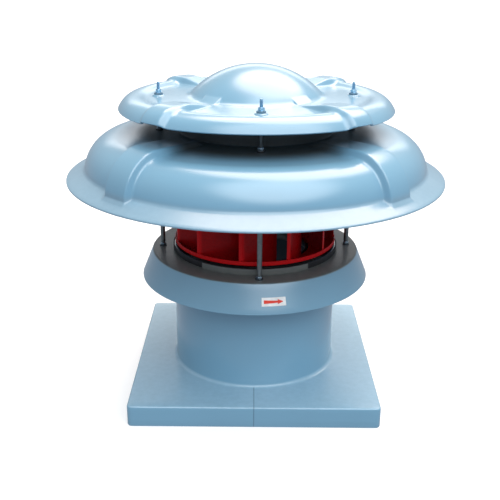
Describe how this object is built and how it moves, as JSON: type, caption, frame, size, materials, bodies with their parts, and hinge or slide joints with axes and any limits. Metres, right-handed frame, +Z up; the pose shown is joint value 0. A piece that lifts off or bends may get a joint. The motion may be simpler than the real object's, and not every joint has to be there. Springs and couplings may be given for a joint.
{
  "type": "roof exhaust fan",
  "caption": "Roof exhaust fan: square curb cap, round neck, flared collar, centrifugal impeller under a wide ribbed hood, and a domed top cap.",
  "frame": {"origin": "middle of the curb cap's bottom rim", "axes": "+Z up along the shaft, -Y towards the front, +X to the right"},
  "size_m": [0.92, 0.92, 0.808],
  "materials": {
    "frp_base": "satin fibreglass gelcoat",
    "frp_collar": "satin fibreglass gelcoat",
    "frp_hood": "satin fibreglass gelcoat",
    "frp_cap": "satin fibreglass gelcoat",
    "red_paint": "semi-gloss",
    "black_paint": "semi-gloss",
    "zinc_steel": "zinc plated",
    "nut_steel": "zinc plated",
    "galvanised": "galvanised",
    "black_rubber": "matt",
    "dark_washer": "matt",
    "motor_paint": "semi-gloss",
    "cast_aluminium": "cast",
    "bright_steel": "ground",
    "laminations": "stacked sheets",
    "copper_winding": "varnished wire",
    "bearing_steel": "polished",
    "black_plastic": "moulded",
    "terminal_plastic": "moulded",
    "label_plate": "printed plate"
  },
  "bodies": {
    "frame": {"base_moulding": "frp_base", "curb_gasket": "black_rubber", "inlet_nozzle": "black_paint", "nozzle_screws": "zinc_steel", "weather_collar": "frp_collar", "neck_seal_ring": "black_rubber", "collar_angle_ring": "galvanised", "ring_screws": "zinc_steel", "direction_label": "label_plate", "tie_rods": "zinc_steel", "shelf_washers": "dark_washer", "under_shelf_washers": "zinc_steel", "lower_spacer_tubes": "galvanised", "upper_spacer_tubes": "galvanised", "hood_rubber_washers": "black_rubber", "hood_washers": "zinc_steel", "cap_support_washers": "zinc_steel", "shelf_nuts": "nut_steel", "under_shelf_nuts": "zinc_steel", "hood_nuts": "nut_steel", "cap_support_nuts": "nut_steel", "motor_plate": "galvanised", "hood": "frp_hood", "bearing_outer_rings": "bearing_steel", "bearing_shields": "bearing_steel", "stator_core": "laminations", "stator_windings": "copper_winding", "motor_housing": "motor_paint", "drive_end_shield": "motor_paint", "rear_end_shield": "motor_paint", "rear_shield_screws": "zinc_steel", "motor_bolts": "zinc_steel", "motor_nuts": "zinc_steel", "fan_cowl": "motor_paint", "terminal_box": "motor_paint", "terminal_lid": "motor_paint", "lid_screws": "zinc_steel", "terminal_block": "terminal_plastic", "cable_gland": "black_plastic"},
    "rotor": {"impeller_back_plate": "red_paint", "impeller_front_shroud": "red_paint", "impeller_blades": "red_paint", "impeller_hub": "cast_aluminium", "hub_bolts": "zinc_steel", "hub_nuts": "zinc_steel", "hub_retaining_washer": "zinc_steel", "hub_retaining_screw": "zinc_steel", "hub_key": "bright_steel", "motor_shaft": "bright_steel", "rotor_core": "laminations", "bearing_inner_rings": "bearing_steel", "bearing_balls": "bearing_steel", "cooling_fan": "black_plastic"},
    "cap": {"top_cap": "frp_cap", "cap_seal_washers": "dark_washer", "cap_washers": "nut_steel", "cap_nuts": "nut_steel"}
  },
  "joints": [
    {"name": "impeller_spin", "type": "hinge", "parent": "frame", "child": "rotor", "pos_m": [0, 0, 0.527], "axis": [0, 0, 1], "continuous": true},
    {"name": "cap_lift", "type": "slide", "parent": "frame", "child": "cap", "axis": [0, 0, 1], "range_m": [0, 0.16]}
  ]
}
